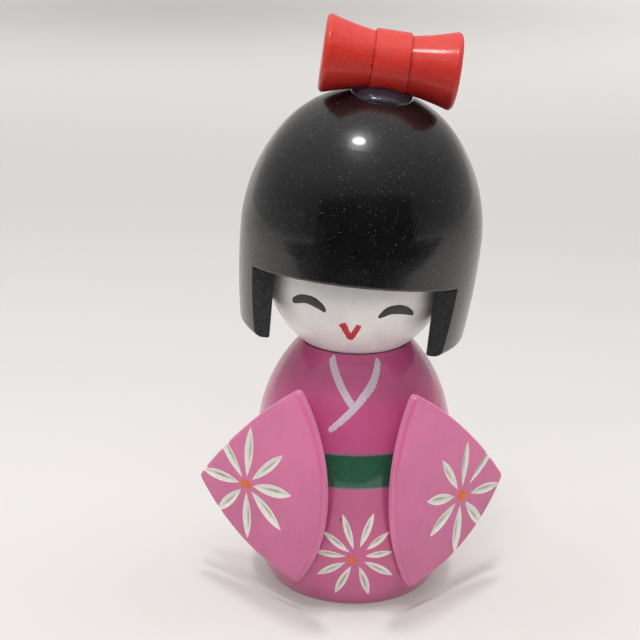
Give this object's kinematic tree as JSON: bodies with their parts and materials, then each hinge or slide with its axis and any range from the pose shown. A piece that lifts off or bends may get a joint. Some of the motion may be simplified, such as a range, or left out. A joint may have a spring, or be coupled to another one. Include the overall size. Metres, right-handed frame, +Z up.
{
  "type": "kokeshi doll",
  "caption": "Standing lacquered wooden doll: domed body with obi band, fan-shaped plate sleeves, gouged flowers, ball head that turns, bobbed hair cap and turned bow.",
  "frame": {"origin": "centre of the body's flat base, on the surface the doll stands on", "axes": "+Z up along the body's turning axis, -Y towards the doll's front, +X towards the doll's left hand"},
  "size_m": [0.0623, 0.0475, 0.1155],
  "materials": {
    "pink_lacquer": "gloss lacquer over turned wood",
    "white_lacquer": "satin lacquer over turned wood",
    "black_lacquer": "gloss lacquer, matt on the sawn faces",
    "red_stain": "semi-gloss stain, turning marks showing",
    "bare_wood": "bare dowel",
    "clear_glue": "clear cured glue"
  },
  "bodies": {
    "doll_body": {"body": "pink_lacquer", "neck_dowel": "bare_wood", "left_sleeve": "pink_lacquer", "right_sleeve": "pink_lacquer"},
    "head": {"head_ball": "white_lacquer", "hair_cap": "black_lacquer", "bow": "red_stain", "bow_peg": "bare_wood", "bow_glue": "clear_glue"}
  },
  "joints": [
    {"name": "head_turn", "type": "hinge", "parent": "doll_body", "child": "head", "pos_m": [0, 0, 0.0659], "axis": [0, 0, 1], "continuous": true}
  ]
}
